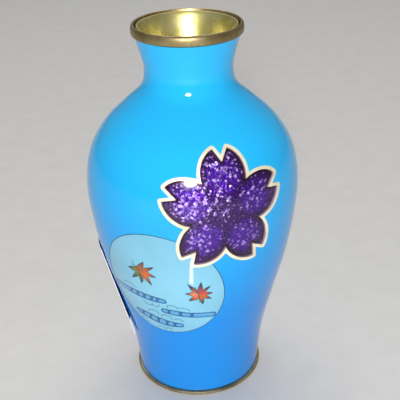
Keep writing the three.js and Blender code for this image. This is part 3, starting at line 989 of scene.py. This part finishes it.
def open_strip(line, width):
    """The outline of a strip of even width along an open line."""
    sides = []
    for hand in (1, -1):
        side = []
        for i, (x, y) in enumerate(line):
            a, b = line[max(0, i - 1)], line[min(len(line) - 1, i + 1)]
            length = math.dist(a, b)
            side.append((x + hand * width / 2 * (b[1] - a[1]) / length,
                         y - hand * width / 2 * (b[0] - a[0]) / length))
        sides.append(side)
    return sides[0] + sides[1][::-1]


def loose_parts(piece, count):
    """Splits a piece into its solids and gives the largest of them, from left to right."""
    pick(piece)
    bpy.ops.mesh.separate(type="LOOSE")
    parts = sorted(bpy.context.selected_objects, key=lambda part: len(part.data.vertices))
    for scrap in parts[:-count]:
        bpy.data.objects.remove(scrap)
    return sorted(parts[-count:], key=lambda part: part.data.vertices[0].co.x)


def add_leaf(name, colours):
    """A maple leaf: its two enamels, parted at the middle vein, and all its wire."""
    leaf = LEAVES[name]
    edge = leaf_outline(leaf)
    fill = cell(f"{name}_enamel", grow(edge, -SEAM, stops=2))
    boolean(fill, prism(open_strip(leaf.vein, 2 * SEAM)), "DIFFERENCE")
    halves = loose_parts(fill, 2)
    for half, (material, slot, node) in zip(halves, colours):
        half.name = half.data.name = f"{node}_fill"
        finish_piece(bend(half, MOON), material, node)
    lines = [(edge, True), (smooth_line(leaf.stalk, 4), False),
             (smooth_line(leaf.vein, 4), False)]
    wire = wires(f"{name}_outline", lines, LEAF_WIRE)
    finish_piece(bend(wire, MOON), DARK_SILVER, f"{name}_wire")
    return edge


def inside_moon(point, margin=0.0):
    return math.hypot(*point) < MOON_RADIUS - margin


def wire_round(link):
    """The wire of a link: a closed loop, or open where the moon's edge cuts the link."""
    if all(inside_moon(p) for p in link):
        return link, True
    start = [inside_moon(p, MOON_WIRE_ROOM) for p in link].index(False)
    return [p for p in link[start:] + link[:start] if inside_moon(p, MOON_WIRE_ROOM)], False


def add_band(name):
    """One band of the stream: its bed, a wire loop round each link and the enamel in it."""
    field = grow(MOON_EDGE, -SEAM)
    links = links_of(BANDS[name])
    edge = band_outline(BANDS[name])
    bed = cell(f"{name}_bed", grow(edge, -SNUG))
    for link in links:
        boolean(bed, prism(grow(link, SEAM)), "DIFFERENCE")
    boolean(bed, prism(field), "INTERSECT")
    finish_piece(bend(bed, MOON), DEEP_WATER, f"{name}_link_1")
    for number, link in enumerate(links, 1):
        fill = cell(f"{name}_link_{number}_fill", grow(link, -SEAM, stops=2))
        if not all(inside_moon(p) for p in link):
            boolean(fill, prism(field), "INTERSECT")
        finish_piece(bend(fill, MOON), WATER, f"{name}_link_{number}")
    wire = wires(f"{name}_loops", [wire_round(link) for link in links], LINK_WIRE)
    finish_piece(bend(wire, MOON), DARK_SILVER, f"{name}_wire")
    return edge


def inside_of(point, outline):
    """True where a flat point lies inside an outline."""
    x, y = point
    odd = False
    for (x1, y1), (x2, y2) in zip(outline, outline[1:] + outline[:1]):
        if (y1 > y) != (y2 > y) and x < (x2 - x1) * (y - y1) / (y2 - y1) + x1:
            odd = not odd
    return odd


def add_moon():
    """The moon behind the blossom, with its leaves, its stream and its outline wire."""
    blossom_here = moved(BLOSSOM_WIRE_EDGE, BLOSSOM, MOON)
    edges = [
        add_leaf("upper_leaf", [(LEAF_GREEN, "leaf_green_enamel", "upper_leaf_green_enamel"),
                                (LEAF_ORANGE, "leaf_orange_enamel", "upper_leaf_orange_enamel")]),
        add_leaf("lower_leaf", [(LEAF_RED, "leaf_red_enamel", "lower_leaf_red_enamel"),
                                (LEAF_RUST, "leaf_orange_enamel", "lower_leaf_orange_enamel")]),
    ]
    edges += [add_band(name) for name in BANDS]
    for number, group in enumerate(RIPPLES, 1):
        wire = wires(f"ripple_{number}", [(smooth_line(line, 6), False) for line in group], RIPPLE_WIRE)
        finish_piece(bend(wire, MOON), DARK_SILVER, f"ripple_wire_{number}")
    field = cell("pale_moon_field", grow(MOON_EDGE, -SEAM), 1.0)
    for edge in [blossom_here, *edges]:
        boolean(field, prism(grow(edge, SNUG)), "DIFFERENCE")
    finish_piece(bend(field, MOON), PALE_MOON, "moon_enamel")
    start = 1 + max(i for i, p in enumerate(MOON_EDGE) if inside_of(p, blossom_here))
    shown = [p for p in MOON_EDGE[start:] + MOON_EDGE[:start] if not inside_of(p, blossom_here)]
    wire = wires("moon_outline", [(shown, False)], MOON_WIRE)
    finish_piece(bend(wire, MOON), DARK_SILVER, "moon_wire")


# The label stands straight between a foot and a head, each a (radius, height).
LABEL = SimpleNamespace(angle=math.radians(-92), width=36.6, thickness=0.3, corner=2.0,
                        foot=(36.1, 27), head=(48.3, 79))


def add_label():
    """The blank paper label: a flat sheet with rounded corners, bent round the flank."""
    height = LABEL.head[1] - LABEL.foot[1]
    half, tall, corner = LABEL.width / 2, height / 2, LABEL.corner
    outline = []
    for quarter, (x, y) in enumerate([(1, 1), (-1, 1), (-1, -1), (1, -1)]):
        for step in range(5):
            angle = math.pi / 2 * (quarter + step / 4)
            outline.append((x * (half - corner) + corner * math.cos(angle),
                            y * (tall - corner) + corner * math.sin(angle)))
    sheet = slab("blank_label", outline, 0.0, LABEL.thickness, 1.6)
    smooth(sheet)
    for vertex in sheet.data.vertices:
        u, v, lift = vertex.co / MM
        share = v / height + 0.5
        radius = LABEL.foot[0] + (LABEL.head[0] - LABEL.foot[0]) * share
        angle = LABEL.angle + u / radius
        vertex.co = Vector(((radius + lift) * math.sin(angle), -(radius + lift) * math.cos(angle),
                            LABEL.foot[1] + height * share)) * MM
    finish_piece(sheet, PAPER, "paper_label")


# ---------------------------------------------------------------- floor, light and camera

FLOOR_SIZE = 12
FLOOR_DROP = 0.0002


def add_floor():
    deselect()
    bpy.ops.mesh.primitive_plane_add(size=FLOOR_SIZE, location=(0, 0, -FLOOR_DROP))
    floor = bpy.context.object
    floor.name = floor.data.name = "studio_floor"
    floor.data.materials.append(FLOOR)


def add_light(name, spot, target, size, power, colour=(1, 1, 1)):
    """A soft area light, round if its size is the same both ways."""
    light = bpy.data.lights.new(name, "AREA")
    light.shape = "DISK" if size[0] == size[1] else "RECTANGLE"
    light.size, light.size_y = size
    light.energy = power
    light.color = colour
    holder = bpy.data.objects.new(name, light)
    holder.location = spot
    holder.rotation_euler = (Vector(target) - Vector(spot)).to_track_quat("-Z", "Y").to_euler()
    bpy.context.scene.collection.objects.link(holder)


def add_lights():
    """A round key light above the camera, a broad one behind, and a low one at the foot."""
    middle = (0, 0, HEIGHT / 2 * MM)
    add_light("key_softbox", (-0.055, -1.1, 0.57), middle, size=(0.2, 0.2), power=14.5,
              colour=(1.0, 0.99, 0.97))
    add_light("top_softbox", (0.0, 0.75, 1.6), middle, size=(1.6, 1.2), power=15)
    add_light("low_strip", (-0.009, -0.117, 0.002), (-0.009, -0.116, 1), size=(0.006, 0.034),
              power=0.011)
    world = bpy.data.worlds.new("studio")
    world.use_nodes = True
    sky = world.node_tree.nodes["Background"]
    sky.inputs["Color"].default_value = (0.82, 0.84, 0.87, 1)
    sky.inputs["Strength"].default_value = 0.25
    bpy.context.scene.world = world


# The camera stands in front and above, looks down, and is turned and rolled a little.
CAMERA_BACK, CAMERA_HEIGHT = 340.8, 272.8
CAMERA_LOOK_DOWN, CAMERA_TURN, CAMERA_ROLL = 62.55, -0.55, -1.82
LENS, SENSOR = 69.76, 36


def add_camera():
    camera = bpy.data.cameras.new("camera")
    camera.lens = LENS
    camera.sensor_width = SENSOR
    holder = bpy.data.objects.new("camera", camera)
    holder.location = (0, -CAMERA_BACK * MM, CAMERA_HEIGHT * MM)
    turns = ((CAMERA_TURN, "Z"), (CAMERA_LOOK_DOWN, "X"), (CAMERA_ROLL, "Z"))
    turn, look_down, roll = (Matrix.Rotation(math.radians(angle), 3, axis) for angle, axis in turns)
    holder.rotation_euler = (turn @ look_down @ roll).to_euler()
    bpy.context.scene.collection.objects.link(holder)
    bpy.context.scene.camera = holder
    bpy.context.scene.view_settings.view_transform = "Standard"


add_camera()
add_lights()
add_floor()
add_copper()
add_lining()
add_mouth_and_foot()
add_ground()
add_blossom()
add_moon()
add_label()
